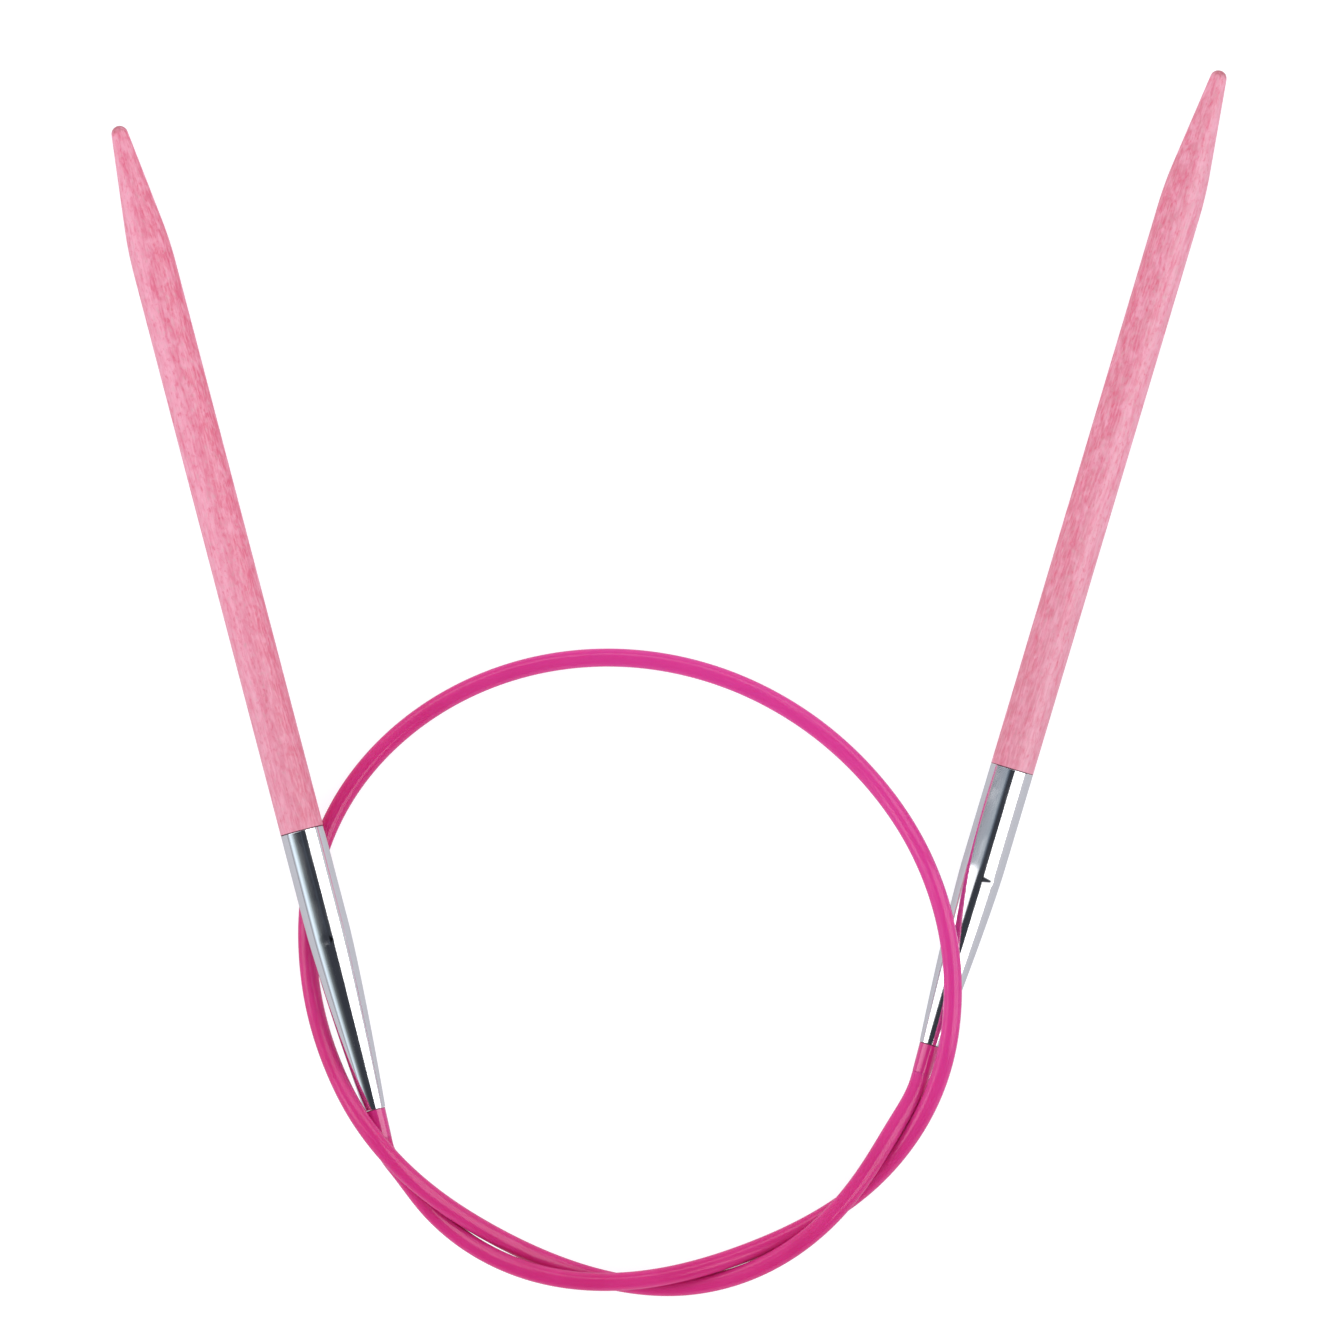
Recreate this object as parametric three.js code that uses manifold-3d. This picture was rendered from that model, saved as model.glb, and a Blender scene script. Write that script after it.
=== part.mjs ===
// Circular knitting needle, in millimetres, +Z up.
//
// Two wooden points sit in metal ferrules. Each ferrule turns on a headed pin, whose barbed stem is held in a
// short collar on the end of the cord. The cord is one length that lies in a loop of about one and a third
// turns, under the left ferrule and over the right one. The origin is on the table, midway between the points.
import * as THREE from "three";
import { mergeVertices } from "three/addons/utils/BufferGeometryUtils.js";
import Module from "manifold-3d";

const wasm = await Module();
wasm.setup();

// Driving dimensions
const NEEDLE_RADIUS = 2.75; // of the wood and of the ferrule's barrel: a 5.5 mm needle
const RIGID_LENGTH = 128; // from the ferrule's nose to the very tip
const FERRULE_LENGTH = 36.2;
const TAPER_LENGTH = 23.2; // the ferrule's tapering part, next to the cord
const NOSE_RADIUS = 1.36;
const COLLAR_LENGTH = 3.75;
const CORD_RADIUS = 1.15;
const FIT_GAP = 0.3; // between parts that are glued, pressed or butted together
const SEAM_GAP = 0.2; // between the wood's shoulder and the ferrule, and between the ferrule and the collar
const WALL = 0.45; // of the ferrule
const ROUND_SIDES = 32;

// Wooden point: a blunt round tip, a straight cone and a soft shoulder
const TIP_RADIUS = 1.05;
const CONE_SLOPE = 0.1157; // growth in radius for each millimetre along the cone
const CONE_LENGTH = 15.65; // from the tip to where the cone's line would meet the cylinder
const SHOULDER = 2.85; // the shoulder's curve starts and ends this far from that meeting point
const SPIGOT_END = 20.4; // how far from the nose the spigot inside the ferrule ends

// Swivel pin
const SHANK_RADIUS = 0.6;
const NOSE_BORE_RADIUS = 0.8;
const NOSE_BORE_LENGTH = 2.2;
const HEAD_RADIUS = 0.95;
const HEAD_LENGTH = 1.2;
const STEM_RADIUS = 0.45;
const BARB_RADIUS = 0.58;
const BARB_PITCH = 0.8;
const BARB_COUNT = 3;

// Collar, a little wider at the ferrule than at the cord
const COLLAR_RADIUS_AT_NOSE = 1.3;
const COLLAR_RADIUS_AT_CORD = 1.18;
const COLLAR_BORE_RADIUS = 0.86;

// Punch mark that stakes the ferrule on the wood's spigot
const PUNCH_RADIUS = 1.1;
const PUNCH_DEPTH = 0.2;
const PUNCH_HEIGHT = 22; // from the nose

// Where each needle lies. The left one rests on its shoulder and, near its nose, on the cord.
const LEFT = {
  name: "left",
  nose: [-36.92, -63.51, 6.63],
  heading: 14.75, // degrees that the point turns from +Y towards -X
  dip: 1.98, // degrees that the point slopes down
  punchTurn: 12, // degrees from the needle's upper side to the punch mark
};
const RIGHT = {
  name: "right",
  nose: [32.91, -55.49, NEEDLE_RADIUS * Math.cos(Math.PI / ROUND_SIDES)],
  heading: -16.63,
  dip: 0,
  punchTurn: 40,
};

// The cord's route from the left collar to the right one: the angle about the loop's middle in degrees, the
// distance from the middle, and the height of the cord's centre line.
const LOOP_MIDDLE = [-4.9, -46.55];
const CORD_STEPS = 64;
const CORD_SIDES = 8;
const ROUTE = [
  [213.97, 37.36, 6.77],
  [215.62, 37.76, 6.78],
  [220, 38.0, 6.6],
  [229, 38.75, 5.9],
  [241, 39.5, 4.9],
  [254, 39.5, 4.1],
  [267, 38.9, 3.7],
  [280, 38.3, 3.0],
  [293, 38.25, 1.8],
  [306, 39.05, 1.25],
  [319, 40.2, 1.4],
  [331, 40.9, 2.9],
  [343, 41.05, 5.1],
  [355, 40.7, 6.5],
  [368, 40.2, 6.8],
  [381, 39.65, 5.9],
  [394, 39.15, 3.3],
  [410, 38.8, 1.4],
  [430, 38.95, 1.2],
  [450, 39.65, 1.2],
  [470, 40.7, 1.2],
  [490, 41.75, 1.2],
  [508, 42.25, 1.2],
  [524, 41.75, 1.2],
  [537, 40.7, 1.4],
  [548, 39.8, 3.0],
  [558, 39.0, 5.8],
  [567, 38.4, 8.3],
  [577, 37.75, 9.4],
  [588, 37.2, 8.2],
  [599, 37.05, 5.2],
  [611, 37.55, 2.3],
  [625, 38.8, 1.25],
  [640, 40.2, 1.4],
  [653, 40.5, 2.6],
  [666, 39.95, 3.8],
  [679, 39.0, 3.8],
  [691, 38.6, 3.2],
  [699.03, 38.9, 2.78],
  [700.72, 38.83, 2.74],
];

function radians(degrees) {
  return THREE.MathUtils.degToRad(degrees);
}

// A finish for each kind of piece
function finish(color, roughness, metalness) {
  return new THREE.MeshStandardMaterial({ color, roughness, metalness });
}
const PINK_WOOD = finish(0xe88fae, 0.45, 0);
const BRIGHT_METAL = finish(0xd4d7dc, 0.12, 1);
const PIN_METAL = finish(0xb9bcc2, 0.3, 1);
const MAGENTA_NYLON = finish(0xd23a8c, 0.25, 0);

// A round solid about the local Y axis. The half step puts a flat facet, not an edge, at its lowest side.
function turned(outline, curveDivisions, sides = ROUND_SIDES) {
  return new THREE.LatheGeometry(outline.getPoints(curveDivisions), sides, Math.PI / sides);
}

function toSolid(geometry) {
  const bare = geometry.clone();
  bare.deleteAttribute("normal");
  bare.deleteAttribute("uv");
  const merged = mergeVertices(bare, 1e-4);
  const vertProperties = Float32Array.from(merged.attributes.position.array);
  const triVerts = Uint32Array.from(merged.index.array);
  return new wasm.Manifold(new wasm.Mesh({ numProp: 3, vertProperties, triVerts }));
}

function toGeometry(solid) {
  const mesh = solid.getMesh();
  const geometry = new THREE.BufferGeometry();
  geometry.setAttribute("position", new THREE.BufferAttribute(mesh.vertProperties, 3));
  geometry.setIndex(new THREE.BufferAttribute(mesh.triVerts, 1));
  geometry.computeVertexNormals();
  return geometry;
}

// The ferrule's outer radius at a height above the nose
function ferruleRadius(height) {
  const left = Math.max(0, 1 - height / TAPER_LENGTH);
  return NOSE_RADIUS + (NEEDLE_RADIUS - NOSE_RADIUS) * (1 - left ** 1.4);
}

// Wooden point: the cylinder and cone that carry the stitches, and the thinner spigot inside the ferrule
function woodPoint() {
  const spigotRadius = NEEDLE_RADIUS - WALL - FIT_GAP;
  const seam = FERRULE_LENGTH + SEAM_GAP / 2;
  const slope = Math.atan(CONE_SLOPE);
  const coneCorner = RIGID_LENGTH - CONE_LENGTH;
  const shoulderRadius = NEEDLE_RADIUS - SHOULDER * CONE_SLOPE;
  const outline = new THREE.Path();
  outline.moveTo(0, SPIGOT_END);
  outline.lineTo(spigotRadius - 0.4, SPIGOT_END);
  outline.lineTo(spigotRadius, SPIGOT_END + 0.4);
  outline.lineTo(spigotRadius, seam);
  outline.lineTo(NEEDLE_RADIUS, seam);
  outline.lineTo(NEEDLE_RADIUS, coneCorner - SHOULDER);
  outline.quadraticCurveTo(NEEDLE_RADIUS, coneCorner, shoulderRadius, coneCorner + SHOULDER);
  outline.absarc(0, RIGID_LENGTH - TIP_RADIUS, TIP_RADIUS, slope, Math.PI / 2, false);
  return turned(outline, 6);
}

// Ferrule: a drawn sleeve, open at both ends, with a narrow bore through its nose
function ferrule(punchTurn) {
  const top = FERRULE_LENGTH - SEAM_GAP / 2;
  const barrelBore = NEEDLE_RADIUS - WALL;
  const edge = 0.12;
  const outline = new THREE.Path();
  outline.moveTo(NOSE_BORE_RADIUS, 0);
  outline.lineTo(NOSE_RADIUS - edge, 0);
  for (const share of [0.006, 0.08, 0.17, 0.27, 0.38, 0.5, 0.63, 0.77, 0.9, 1]) {
    outline.lineTo(ferruleRadius(share * TAPER_LENGTH), share * TAPER_LENGTH);
  }
  outline.lineTo(NEEDLE_RADIUS, top - edge);
  outline.lineTo(NEEDLE_RADIUS - edge, top);
  outline.lineTo(barrelBore, top);
  for (const share of [0.85, 0.6, 0.35, 0.1]) {
    outline.lineTo(ferruleRadius(share * TAPER_LENGTH) - WALL, share * TAPER_LENGTH);
  }
  outline.lineTo(ferruleRadius(NOSE_BORE_LENGTH) - WALL * 0.7, NOSE_BORE_LENGTH);
  outline.lineTo(NOSE_BORE_RADIUS, NOSE_BORE_LENGTH);
  outline.lineTo(NOSE_BORE_RADIUS, 0);

  const punch = new THREE.SphereGeometry(PUNCH_RADIUS, 16, 12);
  const reach = ferruleRadius(PUNCH_HEIGHT) + PUNCH_RADIUS - PUNCH_DEPTH;
  punch.translate(reach * Math.sin(radians(punchTurn)), PUNCH_HEIGHT, reach * Math.cos(radians(punchTurn)));
  return toGeometry(toSolid(turned(outline, 1)).subtract(toSolid(punch)));
}

// Swivel pin: a head inside the nose, a shank through its bore, and a barbed stem in the collar
function swivelPin() {
  const stemEnd = -COLLAR_LENGTH + FIT_GAP;
  const headStart = NOSE_BORE_LENGTH + FIT_GAP;
  const outline = new THREE.Path();
  outline.moveTo(0, stemEnd);
  outline.lineTo(STEM_RADIUS - 0.1, stemEnd);
  for (let barb = 0; barb < BARB_COUNT; barb++) {
    const foot = stemEnd + 0.1 + barb * BARB_PITCH;
    outline.lineTo(STEM_RADIUS, foot);
    outline.lineTo(BARB_RADIUS, foot + BARB_PITCH * 0.7);
    outline.lineTo(STEM_RADIUS, foot + BARB_PITCH * 0.7 + 0.05);
  }
  outline.lineTo(STEM_RADIUS, -FIT_GAP);
  outline.lineTo(SHANK_RADIUS, -FIT_GAP / 2);
  outline.lineTo(SHANK_RADIUS, headStart);
  outline.lineTo(HEAD_RADIUS, headStart);
  outline.lineTo(HEAD_RADIUS, headStart + HEAD_LENGTH * 0.6);
  outline.quadraticCurveTo(HEAD_RADIUS, headStart + HEAD_LENGTH, 0, headStart + HEAD_LENGTH);
  return turned(outline, 4, 24);
}

// Collar: a short sleeve on the cord's end, the same colour as the cord
function collar() {
  const nearFace = -SEAM_GAP;
  const outline = new THREE.Path();
  outline.moveTo(COLLAR_BORE_RADIUS, -COLLAR_LENGTH);
  outline.lineTo(COLLAR_RADIUS_AT_CORD, -COLLAR_LENGTH);
  outline.lineTo(COLLAR_RADIUS_AT_NOSE, nearFace - 0.3);
  outline.lineTo(COLLAR_RADIUS_AT_NOSE - 0.05, nearFace);
  outline.lineTo(COLLAR_BORE_RADIUS, nearFace);
  outline.lineTo(COLLAR_BORE_RADIUS, -COLLAR_LENGTH);
  return turned(outline, 1, 24);
}

// Cord: an even round section drawn along the route
function cord() {
  const points = ROUTE.map(([angle, distance, height]) => {
    const x = LOOP_MIDDLE[0] + distance * Math.cos(radians(angle));
    const y = LOOP_MIDDLE[1] + distance * Math.sin(radians(angle));
    return new THREE.Vector3(x, y, height);
  });
  const corners = [];
  for (let side = 0; side < CORD_SIDES; side++) {
    const turn = (2 * Math.PI * side) / CORD_SIDES;
    corners.push(new THREE.Vector2(CORD_RADIUS * Math.cos(turn), CORD_RADIUS * Math.sin(turn)));
  }
  const route = new THREE.CatmullRomCurve3(points, false, "centripetal");
  const section = new THREE.Shape(corners);
  return new THREE.ExtrudeGeometry(section, { steps: CORD_STEPS, extrudePath: route, bevelEnabled: false });
}

function part(name, geometry, material) {
  const mesh = new THREE.Mesh(geometry, material);
  mesh.name = name;
  return mesh;
}

// One rigid needle: local Y runs from the nose to the tip, and local Z is its upper side
function needle({ name, nose, heading, dip, punchTurn }) {
  const group = new THREE.Group();
  group.add(
    part(`${name}_wood_point`, woodPoint(), PINK_WOOD),
    part(`${name}_ferrule`, ferrule(punchTurn), BRIGHT_METAL),
    part(`${name}_swivel_pin`, swivelPin(), PIN_METAL),
    part(`${name}_cord_collar`, collar(), MAGENTA_NYLON),
  );
  group.position.set(...nose);
  group.rotation.set(radians(-dip), 0, radians(heading), "ZXY");
  return group;
}

const circularNeedle = new THREE.Group();
circularNeedle.add(needle(LEFT), needle(RIGHT), part("cord", cord(), MAGENTA_NYLON));

export default circularNeedle;
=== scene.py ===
"""Looks of the circular knitting needle, around its CAD frame.

Metres, +Z up, and the needle lies on the floor at Z = 0. Its two pink wooden points sit in nickel-plated
ferrules. Each ferrule turns on a steel swivel pin in a collar on the nylon cord's end.
"""

import math

import bpy
import numpy as np
from mathutils import Matrix


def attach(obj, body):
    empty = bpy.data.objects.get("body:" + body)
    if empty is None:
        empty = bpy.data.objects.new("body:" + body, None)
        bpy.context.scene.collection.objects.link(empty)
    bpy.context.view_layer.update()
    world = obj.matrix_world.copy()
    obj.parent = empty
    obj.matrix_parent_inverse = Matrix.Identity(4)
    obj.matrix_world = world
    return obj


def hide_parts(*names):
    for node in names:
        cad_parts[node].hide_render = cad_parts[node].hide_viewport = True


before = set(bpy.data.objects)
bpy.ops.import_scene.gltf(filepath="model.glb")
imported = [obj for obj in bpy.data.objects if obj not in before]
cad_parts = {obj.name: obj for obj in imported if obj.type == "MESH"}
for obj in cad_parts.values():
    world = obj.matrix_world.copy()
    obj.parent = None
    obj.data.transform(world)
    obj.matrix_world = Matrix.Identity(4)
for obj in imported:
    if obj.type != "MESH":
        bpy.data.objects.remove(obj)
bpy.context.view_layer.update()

# Driving dimensions, the same as in the CAD model
NEEDLE_RADIUS = 0.00275  # of the wood and of the ferrule's barrel: a 5.5 mm needle
RIGID_LENGTH = 0.128  # from the ferrule's nose to the very tip
FERRULE_LENGTH = 0.0362
TAPER_LENGTH = 0.0232  # the ferrule's tapering part, next to the cord
TAPER_CURVE = 1.4  # above 1 the taper bulges
NOSE_RADIUS = 0.00136
COLLAR_LENGTH = 0.00375
CORD_RADIUS = 0.00115
FIT_GAP = 0.0003  # between parts that are glued, pressed or butted together
SEAM_GAP = 0.0002  # between the wood's shoulder and the ferrule
WALL = 0.00045  # of the ferrule

# Wooden point: a blunt round tip, a straight cone and a soft shoulder
TIP_RADIUS = 0.00105
CONE_SLOPE = 0.1157  # growth in radius along the cone
CONE_LENGTH = 0.01565  # from the tip to where the cone's line would meet the cylinder
SHOULDER = 0.00285  # the shoulder's curve starts and ends this far from that meeting point
SPIGOT_END = 0.0204  # how far from the nose the spigot inside the ferrule ends
SPIGOT_CHAMFER = 0.0004

# Swivel pin and collar
SHANK_RADIUS = 0.0006
NOSE_BORE_RADIUS = 0.0008
NOSE_BORE_LENGTH = 0.0022
HEAD_RADIUS = 0.00095
HEAD_LENGTH = 0.0012
HEAD_STRAIGHT = 0.6 * HEAD_LENGTH  # below its dome
STEM_RADIUS = 0.00045
BARB_RADIUS = 0.00058
BARB_PITCH = 0.0008
BARB_COUNT = 3
BARB_SHARE = 0.7  # of its pitch that a barb slopes over
BARB_STEP = 0.00005  # height of the steep step behind a barb
PIN_CHAMFER = 0.0001
COLLAR_RADIUS_AT_NOSE = 0.0013
COLLAR_RADIUS_AT_CORD = 0.00118
COLLAR_BORE_RADIUS = 0.00086

# Edges and seams, finer than in the CAD model
RIM = 0.00004  # radius of the small rounded edges
GLUE_LINE = 0.00012  # width of the dark line beside each seam
WOOD_SEAM = FERRULE_LENGTH - SEAM_GAP / 2 + 0.00003  # the wood nearly touches the ferrule's rim

# The cord ends in a slice of a ball about the joint that it bends at, in a socket in the collar's end
JOINT_DISTANCE = FIT_GAP / 2  # from the collar's end
SOCKET_RADIUS = CORD_RADIUS + 0.00002
SOCKET_DEPTH = 0.00042
BALL_TURNS = np.radians(np.linspace(15, 0, 6))  # from the ball's flat end to its widest circle

# Outline steps of the ferrule, away from its punch mark and over it
COARSE_STEP = 0.0005
FINE_STEP = 0.00006

# Punch mark on the ferrule
PUNCH_ALONG = 0.0008  # how far the mark reaches from its middle, along the ferrule and round it
PUNCH_AROUND = 0.00105

# Where each needle lies, how it is punched, and how its wood's veneers are turned
LEFT = {
    "name": "left",
    "nose": (-0.03692, -0.06351, 0.00663),
    "heading": 14.75,  # degrees that the point turns from +Y towards -X
    "dip": 1.98,  # degrees that the point slopes down
    "punch_height": 0.022,
    "punch_turn": -10,  # degrees from the needle's upper side to the mark
    "punch_depth": 0.000025,
    "dark_reflection_start": 0.0001,  # how far to the right of the axis the punch mark's painted dark reflection starts
    "dark_reflection_narrowing": 1.2,  # how fast it narrows from there
    "veneer_turn": 0,  # degrees about the axis
    "veneer_start": 0.0,  # metres along the axis, so that each point has its own grain
    "greyness": 0.0,  # share of grey in the dye
}
RIGHT = {
    "name": "right",
    "nose": (0.03291, -0.05549, 0.002737),
    "heading": -16.63,
    "dip": 0,
    "punch_height": 0.0218,
    "punch_turn": 25,
    "punch_depth": 0.00004,
    "dark_reflection_start": 0.00027,
    "dark_reflection_narrowing": 0.22,
    "veneer_turn": 180,
    "veneer_start": 0.31,
    "greyness": 0.25,
}

# The cord's route from the left collar to the right one: the angle about the loop's middle in degrees, the
# distance from the middle, and the height of the cord's centre line
LOOP_MIDDLE = (-0.0049, -0.04655)
ROUTE = [
    (213.97, 0.03736, 0.00677),
    (215.62, 0.03776, 0.00678),
    (220, 0.0380, 0.0066),
    (229, 0.03875, 0.0059),
    (241, 0.0395, 0.0049),
    (254, 0.0395, 0.0041),
    (267, 0.0389, 0.0037),
    (280, 0.0383, 0.0030),
    (293, 0.03825, 0.0018),
    (306, 0.03905, 0.00125),
    (319, 0.0402, 0.0014),
    (331, 0.0409, 0.0029),
    (343, 0.04105, 0.0051),
    (355, 0.0407, 0.0065),
    (368, 0.0402, 0.0068),
    (381, 0.03965, 0.0059),
    (394, 0.03915, 0.0033),
    (410, 0.0388, 0.0014),
    (430, 0.03895, 0.0012),
    (450, 0.03965, 0.0012),
    (470, 0.0407, 0.0012),
    (490, 0.04175, 0.0012),
    (508, 0.04225, 0.0012),
    (524, 0.04175, 0.0012),
    (537, 0.0407, 0.0014),
    (548, 0.0398, 0.0030),
    (558, 0.0390, 0.0058),
    (567, 0.0384, 0.0083),
    (577, 0.03775, 0.0094),
    (588, 0.0372, 0.0082),
    (599, 0.03705, 0.0052),
    (611, 0.03755, 0.0023),
    (625, 0.0388, 0.00125),
    (640, 0.0402, 0.0014),
    (653, 0.0405, 0.0026),
    (666, 0.03995, 0.0038),
    (679, 0.0390, 0.0038),
    (691, 0.0386, 0.0032),
    (699.03, 0.0389, 0.00278),
    (700.72, 0.03883, 0.00274),
]


# ---------------------------------------------------------------- camera


def make_camera():
    """Looks straight down on the whole needle, with +Y up, from far away."""
    data = bpy.data.cameras.new("camera")
    data.lens = 250
    data.sensor_width = 36
    view_width = 0.1663
    view_level = 0.003  # the height at which the view is that wide
    camera = bpy.data.objects.new("camera", data)
    camera.location = (-0.00111, -0.00711, view_level + view_width * data.lens / data.sensor_width)
    bpy.context.scene.collection.objects.link(camera)
    bpy.context.scene.camera = camera


# ---------------------------------------------------------------- mesh tools


def add_piece(name, vertices, faces):
    """A smooth mesh object whose clear edges stay sharp."""
    mesh = bpy.data.meshes.new(name)
    mesh.from_pydata([tuple(v) for v in vertices], [], faces)
    mesh.shade_smooth()
    mesh.set_sharp_from_angle(angle=math.radians(40))
    piece = bpy.data.objects.new(name, mesh)
    bpy.context.scene.collection.objects.link(piece)
    return piece


def grid_faces(rows, columns, closed_rows=False):
    """Quads over rows of vertices, each row closed into a ring."""
    faces = []
    for row in range(rows if closed_rows else rows - 1):
        here = row * columns
        above = (row + 1) % rows * columns
        for column in range(columns):
            beside = (column + 1) % columns
            faces.append((here + column, here + beside, above + beside, above + column))
    return faces


def arc(middle, radius, start, end, steps=6):
    """Points of an arc in an outline, between two angles in degrees. Angle 0 is outward, 90 is up."""
    angles = np.radians(np.linspace(start, end, steps + 1))
    return [(middle[0] + radius * math.cos(a), middle[1] + radius * math.sin(a)) for a in angles]


def turn_outline(name, outline, sides, closed=False):
    """A round piece about the local Y axis from (radius, height) pairs. A closed outline makes a ring."""
    rings = outline if closed else outline[1:-1]
    turns = np.linspace(0, 2 * math.pi, sides, endpoint=False)
    vertices = [(r * math.sin(a), h, r * math.cos(a)) for r, h in rings for a in turns]
    faces = grid_faces(len(rings), sides, closed_rows=closed)
    if not closed:
        low, high = len(vertices), len(vertices) + 1
        vertices += [(0, outline[0][1], 0), (0, outline[-1][1], 0)]
        last = (len(rings) - 1) * sides
        for side in range(sides):
            beside = (side + 1) % sides
            faces.append((low, beside, side))
            faces.append((high, last + side, last + beside))
    return add_piece(name, vertices, faces)


def natural_spline(points, steps_between=14):
    """Points of a natural cubic spline that passes through the given ones."""
    points = np.array(points)
    gaps = np.linalg.norm(np.diff(points, axis=0), axis=1)
    count = len(points)
    matrix = np.eye(count)
    right = np.zeros_like(points)
    for i in range(1, count - 1):
        before, after = gaps[i - 1], gaps[i]
        matrix[i, i - 1 : i + 2] = before, 2 * (before + after), after
        right[i] = 6 * ((points[i + 1] - points[i]) / after - (points[i] - points[i - 1]) / before)
    bends = np.linalg.solve(matrix, right)
    line = []
    for i, gap in enumerate(gaps):
        for step in range(steps_between):
            b = step / steps_between
            a = 1 - b
            straight = a * points[i] + b * points[i + 1]
            line.append(straight + ((a**3 - a) * bends[i] + (b**3 - b) * bends[i + 1]) * gap**2 / 6)
    return np.array([*line, points[-1]])


def tube(name, line, radii, sides=32):
    """A round tube with closed ends along a line, and a UV map that runs along it and around it."""
    ahead = np.gradient(line, axis=0)
    ahead /= np.linalg.norm(ahead, axis=1)[:, None]
    side = np.cross(ahead[0], (0, 0, 1))
    vertices = []
    turns = np.linspace(0, 2 * math.pi, sides, endpoint=False)
    for point, forward, radius in zip(line, ahead, radii):
        side = side - forward * side.dot(forward)
        side /= np.linalg.norm(side)
        up = np.cross(side, forward)
        vertices += [point + radius * (side * math.cos(a) + up * math.sin(a)) for a in turns]
    faces = grid_faces(len(line), sides)
    last = (len(line) - 1) * sides
    faces.append(tuple(range(sides))[::-1])
    faces.append(tuple(last + i for i in range(sides)))
    piece = add_piece(name, vertices, faces)
    uv_map = piece.data.uv_layers.new(name="along_and_around")
    for face in piece.data.polygons:
        columns = [i % sides for i in face.vertices]
        wraps = max(columns) - min(columns) > 1
        for loop, vertex, column in zip(face.loop_indices, face.vertices, columns):
            around = 1 if wraps and column == 0 else column / sides
            uv_map.data[loop].uv = (vertex // sides / len(line), around)
    return piece


# ---------------------------------------------------------------- material tools


def srgb(red, green, blue):
    """A colour given as it looks on a screen, 0 to 255, as the linear colour that a shader takes."""
    linear = [c / 3294.6 if c < 10.3 else ((c / 255 + 0.055) / 1.055) ** 2.4 for c in (red, green, blue)]
    return (*linear, 1)


# The Mix node's two colours among its inputs, and its colour among its outputs
MIX_A, MIX_B, MIX_RESULT = 6, 7, 2


class Nodes:
    """A node tree built one node at a time.

    An input given as another node's output is linked, and any other is set.
    """

    def __init__(self, owner):
        owner.use_nodes = True
        self.tree = owner.node_tree

    def feed(self, node, inputs):
        for key, value in inputs.items():
            if isinstance(value, bpy.types.NodeSocket):
                self.tree.links.new(value, node.inputs[key])
            else:
                node.inputs[key].default_value = value

    def add(self, kind, inputs=None, **settings):
        node = self.tree.nodes.new(f"ShaderNode{kind}")
        for key, value in settings.items():
            setattr(node, key, value)
        self.feed(node, inputs or {})
        return node

    def maths(self, operation, *values):
        return self.add("Math", dict(enumerate(values)), operation=operation).outputs[0]

    def scaled(self, vector, sizes):
        """The vector counted in features of the given sizes."""
        scale = tuple(1 / size for size in sizes)
        return self.add("Mapping", {"Vector": vector, "Scale": scale}).outputs[0]

    def noise(self, vector, sizes, detail=3.0, distortion=0.0):
        """Noise from 0 to 1 whose features have the given sizes along the vector's axes."""
        inputs = {"Vector": self.scaled(vector, sizes), "Scale": 1.0}
        inputs |= {"Detail": detail, "Distortion": distortion}
        return self.add("TexNoise", inputs).outputs["Fac"]

    def between(self, value, low, high, to_low=0.0, to_high=1.0):
        """The value's way from low to high, smooth and clamped."""
        inputs = {"Value": value, "From Min": low, "From Max": high, "To Min": to_low, "To Max": to_high}
        return self.add("MapRange", inputs, interpolation_type="SMOOTHSTEP").outputs[0]

    def mix(self, factor, colour_a, colour_b):
        inputs = {"Factor": factor, MIX_A: colour_a, MIX_B: colour_b}
        return self.add("Mix", inputs, data_type="RGBA").outputs[MIX_RESULT]

    def ramp(self, value, stops):
        """A colour from (position, colour) stops."""
        node = self.add("ValToRGB", {"Fac": value})
        elements = node.color_ramp.elements
        while len(elements) < len(stops):
            elements.new(0.5)
        for element, (position, colour) in zip(elements, stops):
            element.position = position
            element.color = colour
        return node.outputs["Color"]


class Shader(Nodes):
    """A material around a Principled shader."""

    def __init__(self, name):
        self.material = bpy.data.materials.new(name)
        super().__init__(self.material)
        self.surface = self.tree.nodes["Principled BSDF"]

    def bump(self, height, depth):
        """Gives the surface a relief, from a height of 0 to 1 over the given depth."""
        node = self.add("Bump", {"Height": height, "Strength": 1.0, "Distance": depth})
        self.feed(self.surface, {"Normal": node.outputs["Normal"]})

    def finish(self, **inputs):
        self.feed(self.surface, {key.replace("_", " "): value for key, value in inputs.items()})
        return self.material


# ---------------------------------------------------------------- materials


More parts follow.
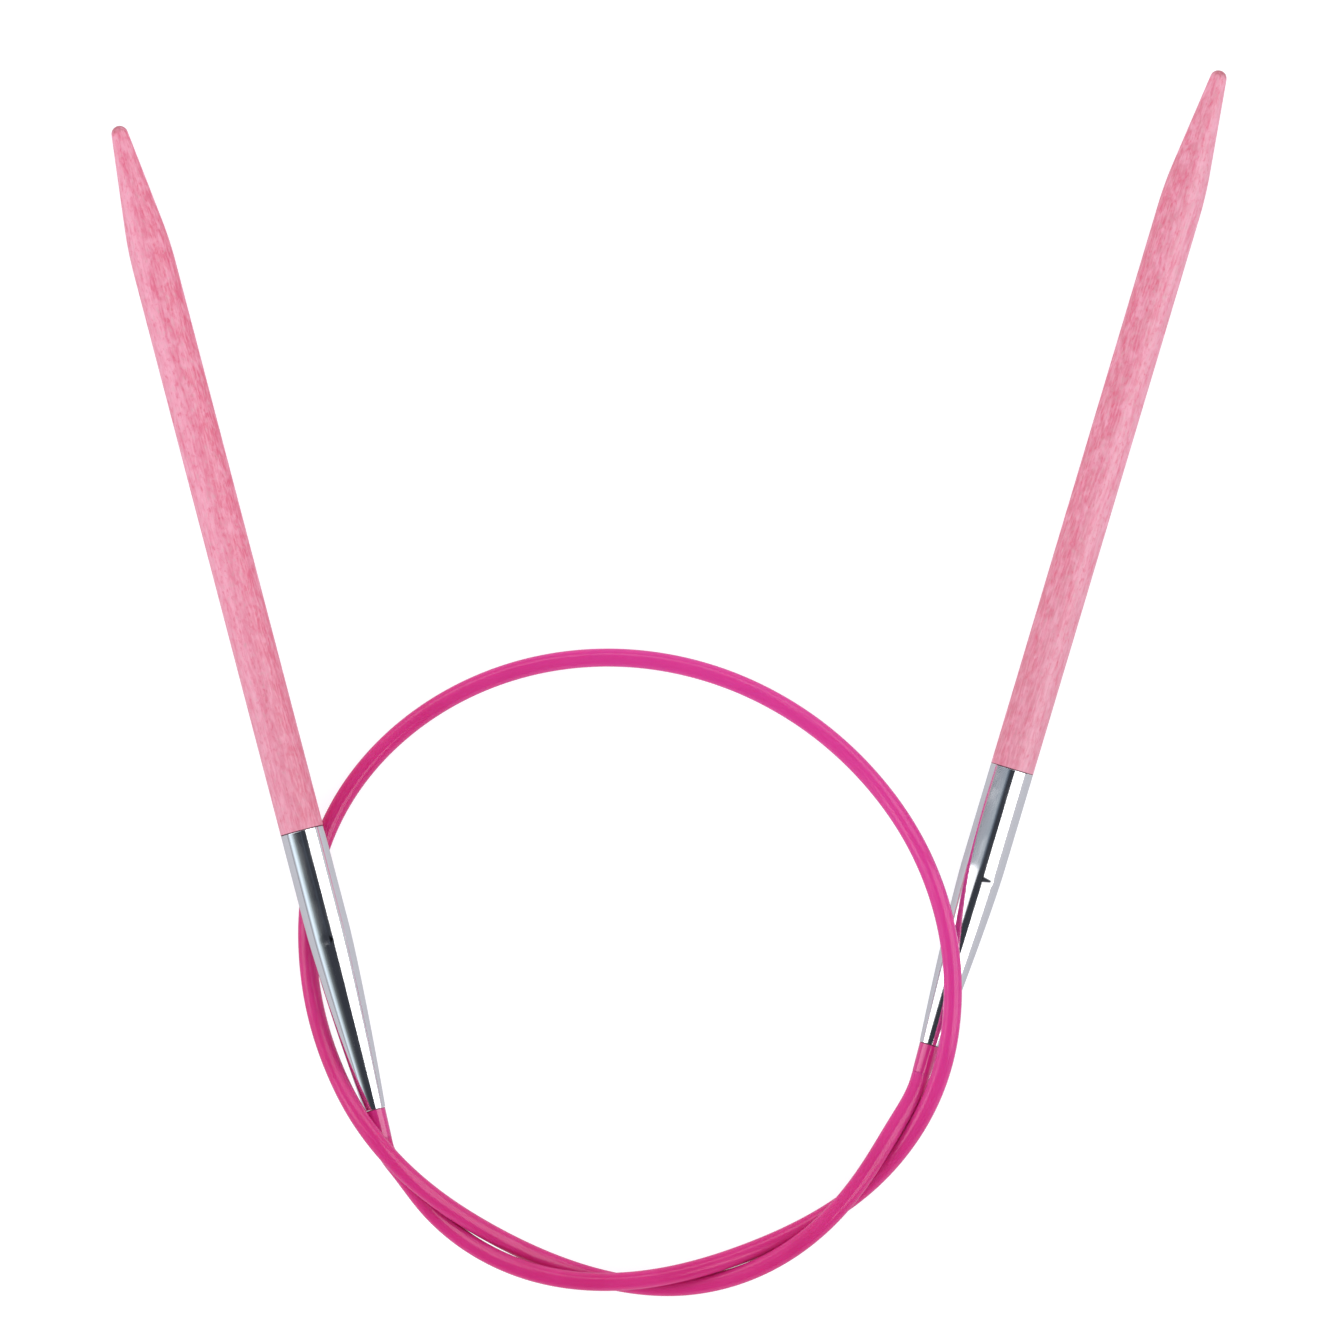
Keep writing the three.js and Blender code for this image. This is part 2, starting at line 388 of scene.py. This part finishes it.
def pink_wood(name, veneer_turn, veneer_start, greyness):
    """Pink-dyed birch glued from thin veneers, under satin lacquer."""
    s = Shader(name)
    local = s.add("TexCoord").outputs["Object"]
    turned = {"Rotation": (0, math.radians(veneer_turn), 0), "Location": (0, veneer_start, 0)}
    grain = s.add("Mapping", {"Vector": local, **turned}).outputs[0]
    across = s.add("SeparateXYZ", {"Vector": grain}).outputs["X"]
    height = s.add("SeparateXYZ", {"Vector": local}).outputs["Y"]

    # Veneers, each with its own shade, whose borders wander a little along the needle
    wander = s.noise(grain, (0.004, 0.03, 0.004))
    place = s.between(s.maths("MULTIPLY_ADD", wander, 0.0008, across), -0.0024, 0.0032)
    veneers = [
        (0.00, srgb(233, 148, 172)),
        (0.14, srgb(240, 160, 183)),
        (0.25, srgb(237, 153, 177)),
        (0.37, srgb(232, 134, 160)),
        (0.63, srgb(229, 128, 154)),
        (0.80, srgb(225, 117, 145)),
        (0.93, srgb(221, 104, 134)),
    ]
    colour = s.mix(greyness, s.ramp(place, veneers), srgb(206, 158, 168))

    # Uneven dye: long rose streaks, cloudy blotches across them, small coral and greyish marks, a duller
    # stretch near the ferrule, and pale fibres
    streaks = s.noise(grain, (0.0006, 0.005, 0.0006), detail=3, distortion=0.3)
    colour = s.mix(s.between(streaks, 0.44, 0.70, 0, 0.5), colour, srgb(224, 92, 130))
    blotches = s.noise(grain, (0.0010, 0.0018, 0.0010), detail=6, distortion=0.6)
    colour = s.mix(s.between(blotches, 0.40, 0.72, 0, 0.5), colour, srgb(244, 176, 200))
    marks = s.noise(grain, (0.0004, 0.0007, 0.0004), detail=5, distortion=0.5)
    colour = s.mix(s.between(marks, 0.48, 0.76, 0, 0.6), colour, srgb(222, 84, 116))
    colour = s.mix(s.between(marks, 0.48, 0.24, 0, 0.5), colour, srgb(214, 164, 170))
    dull = s.between(height, 0.08, FERRULE_LENGTH, 0, 0.3)
    colour = s.mix(dull, colour, srgb(206, 136, 152))
    fibres = s.noise(grain, (0.00022, 0.0018, 0.00022), detail=4)
    colour = s.mix(s.between(fibres, 0.42, 0.64, 0, 0.3), colour, srgb(250, 186, 206))

    # Pores: faint short dashes that lie in rows
    pore_cells = s.scaled(grain, (0.00045, 0.0011, 0.00045))
    pores = s.add("TexVoronoi", {"Vector": pore_cells, "Scale": 1.0}).outputs["Distance"]
    rows = s.noise(grain, (0.0009, 0.012, 0.0009), detail=2)
    pore = s.maths("MULTIPLY", s.between(pores, 0.3, 0.14), s.between(rows, 0.5, 0.6))
    colour = s.mix(s.maths("MULTIPLY", pore, 0.35), colour, srgb(206, 104, 116))

    # End grain at the tip drinks more dye, and glue darkens the seam
    ragged_height = s.maths("MULTIPLY_ADD", marks, 0.0012, height)
    tip = s.between(ragged_height, RIGID_LENGTH - 0.0005, RIGID_LENGTH + 0.0005, 0, 0.7)
    colour = s.mix(tip, colour, srgb(168, 92, 96))
    glue = s.between(height, WOOD_SEAM + GLUE_LINE, WOOD_SEAM + GLUE_LINE / 2)
    colour = s.mix(glue, colour, srgb(96, 44, 60))

    relief = s.maths("SUBTRACT", fibres, s.maths("MULTIPLY", pore, 0.6))
    s.bump(relief, 0.000012)
    roughness = s.between(blotches, 0.3, 0.7, 0.36, 0.5)
    s.finish(Specular_IOR_Level=0.24, Coat_Weight=0.12, Coat_Roughness=0.3)
    return s.finish(Base_Color=colour, Roughness=roughness)


def bright_metal(name, punch_height, dark_reflection_start, dark_reflection_narrowing):
    """Polished nickel plate on a drawn sleeve, with faint drawing lines, smudges and a punch mark with a
    painted dark reflection in it.
    """
    s = Shader(name)
    local = s.add("TexCoord").outputs["Object"]
    lines = s.noise(local, (0.00012, 0.02, 0.00012), detail=3)
    smudges = s.noise(local, (0.003, 0.005, 0.003), detail=4, distortion=0.6)
    dulled = s.between(smudges, 0.4, 0.75, 0.07, 0.11)
    roughness = s.maths("MULTIPLY_ADD", lines, 0.04, dulled)
    colour = s.mix(smudges, srgb(235, 235, 240), srgb(240, 240, 243))

    # Painted dark reflection in the punch mark, on the upper side, narrowing to the right: the dark ceiling
    # as the dent's slope would mirror it, painted into the colour
    across, height, up = s.add("SeparateXYZ", {"Vector": local}).outputs
    past_start = s.maths("SUBTRACT", across, dark_reflection_start)
    away = s.maths("ABSOLUTE", s.maths("SUBTRACT", height, punch_height))
    away = s.maths("MULTIPLY_ADD", past_start, dark_reflection_narrowing, away)
    painted_dark_reflection = s.maths("MULTIPLY", s.between(away, 0.0006, 0.00025), s.between(up, 0.0, 0.0005))
    painted_dark_reflection = s.maths("MULTIPLY", painted_dark_reflection, s.between(past_start, -0.00015, 0.00005))
    painted_dark_reflection = s.maths("MULTIPLY", painted_dark_reflection, s.between(past_start, 0.0014, 0.0010))
    # Mixes in the near-black of the painted dark reflection
    colour = s.mix(painted_dark_reflection, colour, srgb(34, 35, 40))
    s.bump(lines, 0.0000015)
    return s.finish(Base_Color=colour, Metallic=1.0, Roughness=roughness)


def pin_metal():
    """Turned steel, with fine rings from the tool."""
    s = Shader("pin_metal")
    local = s.add("TexCoord").outputs["Object"]
    rings = s.noise(local, (0.01, 0.00006, 0.01), detail=2)
    colour = s.mix(rings, srgb(176, 178, 184), srgb(208, 210, 214))
    s.bump(rings, 0.000004)
    return s.finish(Base_Color=colour, Metallic=1.0, Roughness=s.between(rings, 0.3, 0.7, 0.22, 0.36))


def cord_nylon(length):
    """Glossy, slightly see-through magenta nylon, with faint lines that the die left along it."""
    s = Shader("cord_nylon")
    coordinates = s.add("TexCoord")
    line_sizes = (0.02 / length, 0.016, 1)  # 20 mm along the cord by a sixtieth of the way round it
    lines = s.noise(coordinates.outputs["UV"], line_sizes, detail=2)

    # Painted light: the side of the loop that lies towards +X and +Y is painted a little paler, as if more
    # light fell on it from there
    across, forward, _ = s.add("SeparateXYZ", {"Vector": coordinates.outputs["Object"]}).outputs
    painted_light_share = s.between(s.maths("ADD", across, forward), -0.06, 0.0)
    colour = s.mix(painted_light_share, srgb(202, 44, 122), srgb(213, 60, 148))
    clouds = s.noise(coordinates.outputs["Object"], (0.006, 0.006, 0.006), detail=3)
    colour = s.mix(s.between(clouds, 0.3, 0.7, 0, 0.25), colour, srgb(222, 66, 148))

    s.bump(lines, 0.000006)
    roughness = s.maths("MULTIPLY_ADD", lines, 0.12, 0.1)
    s.finish(Subsurface_Weight=0.6, Subsurface_Radius=(1.0, 0.4, 0.7), Subsurface_Scale=0.0014)
    return s.finish(Base_Color=colour, Roughness=roughness, IOR=1.42)


def collar_nylon():
    """Glossy magenta nylon, a little deeper than the cord."""
    s = Shader("collar_nylon")
    local = s.add("TexCoord").outputs["Object"]
    clouds = s.noise(local, (0.0012, 0.003, 0.0012), detail=4)
    grain = s.noise(local, (0.00008, 0.0004, 0.00008), detail=2)
    colour = s.mix(clouds, srgb(204, 36, 122), srgb(212, 48, 138))

    # Glue darkens the seam beside the ferrule's nose
    height = s.add("SeparateXYZ", {"Vector": local}).outputs["Y"]
    glue = s.between(height, -GLUE_LINE * 1.3, -GLUE_LINE * 0.8)
    colour = s.mix(glue, colour, srgb(110, 24, 62))
    s.bump(grain, 0.000003)
    roughness = s.between(clouds, 0.3, 0.7, 0.12, 0.18)
    return s.finish(Base_Color=colour, Roughness=roughness, IOR=1.55, Coat_Weight=0.6, Coat_Roughness=0.08)


# ---------------------------------------------------------------- cord


def ball_end(last, before):
    """Points along the ball end, from its flat to its widest circle, beyond the CAD cord's last point."""
    outward = (last - before) / np.linalg.norm(last - before)
    beyond = FIT_GAP - JOINT_DISTANCE + CORD_RADIUS * np.sin(BALL_TURNS)
    return [last + outward * distance for distance in beyond]


def make_cord():
    """The whole cord, from the left collar to the right one."""
    points = []
    for angle, distance, height in ROUTE:
        turn = math.radians(angle)
        across = LOOP_MIDDLE[0] + distance * math.cos(turn)
        forward = LOOP_MIDDLE[1] + distance * math.sin(turn)
        points.append((across, forward, height))
    line = natural_spline(points)
    line[:, 2] = np.maximum(line[:, 2], CORD_RADIUS)
    start = ball_end(line[0], line[1])
    end = ball_end(line[-1], line[-2])[::-1]
    end_radii = [CORD_RADIUS * math.cos(turn) for turn in BALL_TURNS]
    radii = [*end_radii, *[CORD_RADIUS] * len(line), *end_radii[::-1]]
    line = np.array([*start, *line, *end])
    length = float(np.linalg.norm(np.diff(line, axis=0), axis=1).sum())
    cord = tube("nylon_cord", line, radii)
    cord.data.materials.append(cord_nylon(length))
    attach(cord, "cord_loop")
    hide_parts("cord")


# ---------------------------------------------------------------- needles


def wood_outline():
    """From the spigot's end inside the ferrule to the very tip."""
    spigot = NEEDLE_RADIUS - WALL - FIT_GAP
    corner = RIGID_LENGTH - CONE_LENGTH
    outline = [(0, SPIGOT_END), (spigot - SPIGOT_CHAMFER, SPIGOT_END)]
    outline += [(spigot, SPIGOT_END + SPIGOT_CHAMFER), (spigot, WOOD_SEAM)]
    outline += arc((NEEDLE_RADIUS - RIM, WOOD_SEAM + RIM), RIM, -90, 0)
    outline.append((NEEDLE_RADIUS, WOOD_SEAM + 2 * RIM))
    for share in np.linspace(0, 1, 13):
        radius = NEEDLE_RADIUS - SHOULDER * CONE_SLOPE * share**2
        outline.append((radius, corner + SHOULDER * (2 * share - 1)))
    slope = math.degrees(math.atan(CONE_SLOPE))
    outline += arc((0, RIGID_LENGTH - TIP_RADIUS), TIP_RADIUS, slope, 90, steps=14)
    return outline


def ferrule_radius(height):
    """The ferrule's outer radius at a height above the nose."""
    below_barrel = max(0.0, 1 - height / TAPER_LENGTH)  # share of the taper that is still ahead
    return NOSE_RADIUS + (NEEDLE_RADIUS - NOSE_RADIUS) * (1 - below_barrel**TAPER_CURVE)


def ferrule_outline(punch_height):
    """Round the wall: up the outside, over the mouth's rim, and down the inside."""
    top = FERRULE_LENGTH - SEAM_GAP / 2
    bore = NEEDLE_RADIUS - WALL
    outline = [(NOSE_BORE_RADIUS, 0)]
    outline += arc((ferrule_radius(RIM) - RIM, RIM), RIM, -90, 0)
    coarse = [2 * RIM, *np.arange(COARSE_STEP, top - 3 * RIM, COARSE_STEP), top - 2 * RIM]
    around_punch = np.arange(punch_height - PUNCH_ALONG, punch_height + PUNCH_ALONG, FINE_STEP)
    beyond = [h for h in coarse if abs(h - punch_height) > PUNCH_ALONG + FINE_STEP]
    outline += [(ferrule_radius(h), h) for h in sorted([*beyond, *around_punch])]
    outline += arc((NEEDLE_RADIUS - RIM, top - RIM), RIM, 0, 90)
    outline += [(bore, top)]
    for height in np.linspace(TAPER_LENGTH, NOSE_BORE_LENGTH, 12):
        outline.append((ferrule_radius(height) - WALL, height))
    outline.append((NOSE_BORE_RADIUS, NOSE_BORE_LENGTH))
    return outline


def dent(ferrule, punch_height, turn, depth):
    """Presses the punch mark into the ferrule's outside, at a turn round it in degrees."""
    aim = math.radians(turn)
    for vertex in ferrule.data.vertices:
        x, height, z = vertex.co
        radius = math.hypot(x, z)
        aside = radius * (math.atan2(x, z) - aim)
        away = math.hypot(aside / PUNCH_AROUND, (height - punch_height) / PUNCH_ALONG)
        outside = radius > ferrule_radius(height) - WALL / 2
        if outside and away < 1:
            pressed = 1 - depth * (1 - away**2) ** 2 / radius
            vertex.co = (x * pressed, height, z * pressed)


def pin_outline():
    """From the barbed stem in the collar to the head inside the ferrule."""
    stem_end = -COLLAR_LENGTH + FIT_GAP
    head_start = NOSE_BORE_LENGTH + FIT_GAP
    outline = [(0, stem_end), (STEM_RADIUS - PIN_CHAMFER, stem_end)]
    for barb in range(BARB_COUNT):
        foot = stem_end + PIN_CHAMFER + barb * BARB_PITCH
        widest = foot + BARB_SHARE * BARB_PITCH
        outline += [(STEM_RADIUS, foot), (BARB_RADIUS, widest), (STEM_RADIUS, widest + BARB_STEP)]
    outline += [(STEM_RADIUS, -FIT_GAP), (SHANK_RADIUS, -FIT_GAP / 2), (SHANK_RADIUS, head_start)]
    outline += [(HEAD_RADIUS, head_start), (HEAD_RADIUS, head_start + HEAD_STRAIGHT)]
    dome = HEAD_LENGTH - HEAD_STRAIGHT
    for turn in np.radians(np.arange(9, 90, 9)):
        outline.append((HEAD_RADIUS * math.cos(turn), head_start + HEAD_STRAIGHT + dome * math.sin(turn)))
    return [*outline, (0, head_start + HEAD_LENGTH)]


def collar_outline():
    """Round the wall: up the outside, down the bore, and out along the socket for the cord's ball end."""
    near, far = -RIM, -COLLAR_LENGTH
    joint = far - JOINT_DISTANCE
    outline = [(COLLAR_RADIUS_AT_CORD, far), (COLLAR_RADIUS_AT_CORD, far + RIM)]
    outline.append((COLLAR_RADIUS_AT_NOSE, near - 2 * RIM))
    outline += arc((COLLAR_RADIUS_AT_NOSE - RIM, near - RIM), RIM, 0, 90)
    outline += [(COLLAR_BORE_RADIUS, near), (COLLAR_BORE_RADIUS, far + SOCKET_DEPTH)]
    deepest = math.degrees(math.asin((SOCKET_DEPTH + JOINT_DISTANCE) / SOCKET_RADIUS))
    lip = math.degrees(math.asin(JOINT_DISTANCE / SOCKET_RADIUS))
    return outline + arc((0, joint), SOCKET_RADIUS, deepest, lip)


def make_needle(place, pin_steel, nylon):
    """One rigid needle. Its local Y runs from the nose to the tip, and its local Z is its upper side."""
    name = place["name"]
    wood = pink_wood(f"{name}_pink_wood", place["veneer_turn"], place["veneer_start"], place["greyness"])
    punch = (place["punch_height"], place["dark_reflection_start"], place["dark_reflection_narrowing"])
    metal = bright_metal(f"{name}_bright_metal", *punch)
    point = turn_outline(f"{name}_birch_point", wood_outline(), 96)
    sleeve = ferrule_outline(place["punch_height"])
    ferrule = turn_outline(f"{name}_nickel_ferrule", sleeve, 192, closed=True)
    dent(ferrule, place["punch_height"], place["punch_turn"], place["punch_depth"])
    pin = turn_outline(f"{name}_steel_pin", pin_outline(), 48)
    collar = turn_outline(f"{name}_nylon_collar", collar_outline(), 64, closed=True)

    heading = Matrix.Rotation(math.radians(place["heading"]), 4, "Z")
    dip = Matrix.Rotation(math.radians(-place["dip"]), 4, "X")
    settled = Matrix.Translation(place["nose"]) @ heading @ dip
    for piece, material, body, node, slot in (
        (point, wood, "needle", "wood_point", "pink_wood"),
        (ferrule, metal, "needle", "ferrule", "bright_metal"),
        (pin, pin_steel, "collar", "swivel_pin", "pin_metal"),
        (collar, nylon, "collar", "cord_collar", "collar_nylon"),
    ):
        piece.matrix_world = settled
        piece.data.materials.append(material)
        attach(piece, f"{name}_{body}")
        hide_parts(f"{name}_{node}")


# ---------------------------------------------------------------- studio


def make_floor():
    """A plain white floor that also glows, so that shadows on it stay faint. Metal mirrors it greyer."""
    half = 2.0
    below = -0.00002  # a hair under the pieces that rest on it
    corners = [(-half, -half, below), (half, -half, below), (half, half, below), (-half, half, below)]
    floor = add_piece("floor", corners, [(0, 1, 2, 3)])
    s = Shader("floor_white")
    mirrored = s.add("LightPath").outputs["Is Glossy Ray"]
    glow = s.maths("MULTIPLY_ADD", mirrored, -0.52, 0.8)
    s.feed(s.surface, {"Emission Color": (1, 1, 1, 1), "Emission Strength": glow})
    s.finish(Base_Color=(0.32, 0.33, 0.36, 1), Roughness=1.0, Specular_IOR_Level=0.0)
    floor.data.materials.append(s.material)


def reflector_colour(w, x, y):
    """The reflector on the left, which fades in from the dark ceiling, for a mirrored direction.

    Its front is bluish, and the left needle mirrors it. The right needle mirrors the bright middle in the
    ferrule's taper and the dim back in the barrel.
    """
    ceiling = (0.04, 0.044, 0.055, 1)
    leftward = w.maths("MULTIPLY", x, -1.0)
    past_left_needle = w.maths("MULTIPLY_ADD", leftward, math.tan(math.radians(LEFT["heading"])), y)
    past_right_needle = w.maths("MULTIPLY_ADD", leftward, math.tan(math.radians(RIGHT["heading"])), y)
    front = [
        (0.2, ceiling),
        (0.40, (0.042, 0.046, 0.057, 1)),
        (0.58, (0.08, 0.09, 0.095, 1)),
        (0.72, (0.20, 0.23, 0.24, 1)),
        (0.83, (0.62, 0.74, 0.78, 1)),
        (0.92, (0.98, 1.15, 1.25, 1)),
    ]
    middle = [
        (0.1, ceiling),
        (0.3, (0.85, 0.88, 0.9, 1)),
        (0.8, (2.6, 2.6, 2.6, 1)),
    ]
    back = [
        (0.08, ceiling),
        (0.2, (0.11, 0.14, 0.18, 1)),
        (0.36, (0.30, 0.35, 0.40, 1)),
        (0.9, (0.2, 0.22, 0.26, 1)),
    ]
    in_middle = w.between(past_left_needle, 0.095, 0.13)
    in_back = w.between(past_right_needle, -0.045, -0.02)
    colour = w.mix(in_middle, w.ramp(leftward, front), w.ramp(leftward, middle))
    return w.mix(in_back, colour, w.ramp(leftward, back))


def make_world():
    """What the pieces mirror: a dark ceiling, a reflector, a bright strip at the back and a grey horizon.

    The strip glints along the cord, and the horizon is lighter on the right. Rough surfaces get an even soft
    light instead, and the camera sees plain white.
    """
    world = bpy.data.worlds.new("studio")
    bpy.context.scene.world = world
    w = Nodes(world)
    direction = w.add("SeparateXYZ", {"Vector": w.add("TexCoord").outputs["Generated"]})
    x, y, z = direction.outputs
    in_strip = w.maths("MULTIPLY", w.between(y, 0.62, 0.66), w.between(y, 0.86, 0.80))
    above = w.mix(in_strip, reflector_colour(w, x, y), (2.2, 2.2, 2.3, 1))
    left_side = w.mix(w.between(z, 0.34, 0.06), above, (0.36, 0.36, 0.39, 1))
    right_side = w.mix(w.between(z, 0.34, 0.2), above, (0.64, 0.64, 0.67, 1))
    mirrored = w.mix(w.between(x, -0.2, 0.2), left_side, right_side)

    rays = w.add("LightPath").outputs
    seen = w.mix(rays["Is Diffuse Ray"], mirrored, (1.0, 1.0, 1.02, 1))
    seen = w.mix(rays["Is Camera Ray"], seen, (1, 1, 1, 1))
    w.feed(w.tree.nodes["Background"], {"Color": seen})


def make_key_light():
    """A large soft box on the right, for highlights only."""
    tilt = math.radians(46)  # from straight up towards +X
    distance = 2.5
    shift = 0.1  # towards +Y
    width, length = 2.7, 3.0
    radiance = 2.4
    data = bpy.data.lights.new("key_light", "AREA")
    data.shape = "RECTANGLE"
    data.size = width
    data.size_y = length
    data.color = (1.0, 0.995, 0.985)
    data.energy = radiance * math.pi * width * length
    light = bpy.data.objects.new("key_light", data)
    light.location = (distance * math.sin(tilt), shift, distance * math.cos(tilt))
    light.rotation_euler = (0, tilt, 0)
    light.visible_camera = False
    light.visible_diffuse = False
    bpy.context.scene.collection.objects.link(light)


make_camera()
make_cord()
PIN_STEEL = pin_metal()
COLLAR = collar_nylon()
make_needle(LEFT, PIN_STEEL, COLLAR)
make_needle(RIGHT, PIN_STEEL, COLLAR)
make_floor()
make_world()
make_key_light()
bpy.context.scene.view_settings.view_transform = "Standard"
